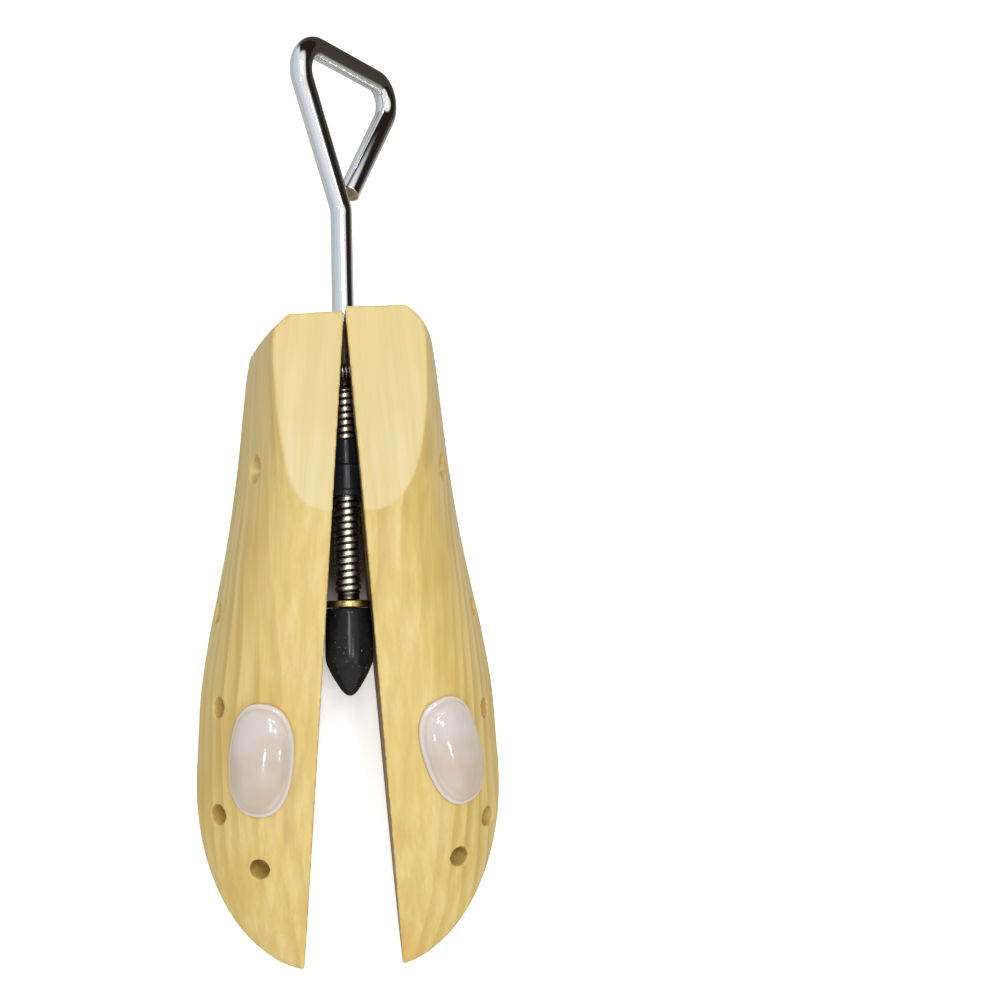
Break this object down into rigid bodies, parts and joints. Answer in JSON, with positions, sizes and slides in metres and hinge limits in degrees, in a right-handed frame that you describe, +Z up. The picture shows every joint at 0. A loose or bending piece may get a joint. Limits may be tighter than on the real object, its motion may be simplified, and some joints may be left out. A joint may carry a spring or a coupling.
{
  "type": "screw-operated shoe stretcher",
  "caption": "Wooden shoe tree split lengthwise, spread by a screw with a bent triangular handle and a bullet cone, with oval pressure pads on top.",
  "frame": {"origin": "centre of the bounding box's base, between the toe tips and the end of the handle, on the plane of the soles", "axes": "+X across the shoe to the right half, +Y from the toe towards the handle, +Z up from the soles"},
  "size_m": [0.1126, 0.3346, 0.0591],
  "materials": {
    "pine": "smooth sanded, clear lacquer",
    "chromed_steel": "polished plating",
    "blackened_steel": "black, semi-gloss",
    "brass": "turned",
    "plain_steel": "drawn wire and rod",
    "milky_plastic": "milky translucent, glossy"
  },
  "bodies": {
    "left_last": {"left_half": "pine", "left_spring_pin": "plain_steel", "tension_spring": "plain_steel"},
    "right_last": {"right_half": "pine", "right_spring_pin": "plain_steel"},
    "nut": {"thread_nut": "blackened_steel", "left_cross_pin": "plain_steel", "right_cross_pin": "plain_steel"},
    "spreader": {"spreader_cone": "blackened_steel", "thrust_washer": "brass", "cone_cross_pin": "plain_steel"},
    "screw": {"handle_screw": "chromed_steel"},
    "left_pad": {"left_plug": "milky_plastic"},
    "right_pad": {"right_plug": "milky_plastic"}
  },
  "joints": [
    {"name": "right_swing", "type": "hinge", "parent": "left_last", "child": "right_last", "pos_m": [0, 0.06818, 0], "axis": [0, 0, 1], "range_deg": [-8.6, 0.59], "deforming": ["tension_spring"]},
    {"name": "nut_swing", "type": "hinge", "parent": "left_last", "child": "nut", "pos_m": [0, 0.06818, 0], "axis": [0, 0, 1], "range_deg": [-4.3, 0.3]},
    {"name": "cone_advance", "type": "slide", "parent": "nut", "child": "spreader", "axis": [0, -1, 0], "range_m": [-0.03625, 0.0025]},
    {"name": "screw_turn", "type": "hinge", "parent": "spreader", "child": "screw", "pos_m": [0, 0.06818, 0.03], "axis": [0, -1, 0], "range_deg": [-5220, 360]},
    {"name": "left_plug_pull", "type": "slide", "parent": "left_last", "child": "left_pad", "axis": [-0.2967, -0.1564, 0.9421], "range_m": [0, 0.014]},
    {"name": "right_plug_pull", "type": "slide", "parent": "right_last", "child": "right_pad", "axis": [0.4455, -0.1322, 0.8855], "range_m": [0, 0.014]}
  ],
  "couplings": [
    {"joint": "cone_advance", "follows": "screw_turn", "m_per_rad": 0.00039789},
    {"joint": "right_swing", "follows": "screw_turn", "ratio": 0.0016475},
    {"joint": "nut_swing", "follows": "screw_turn", "ratio": 0.00082376}
  ]
}
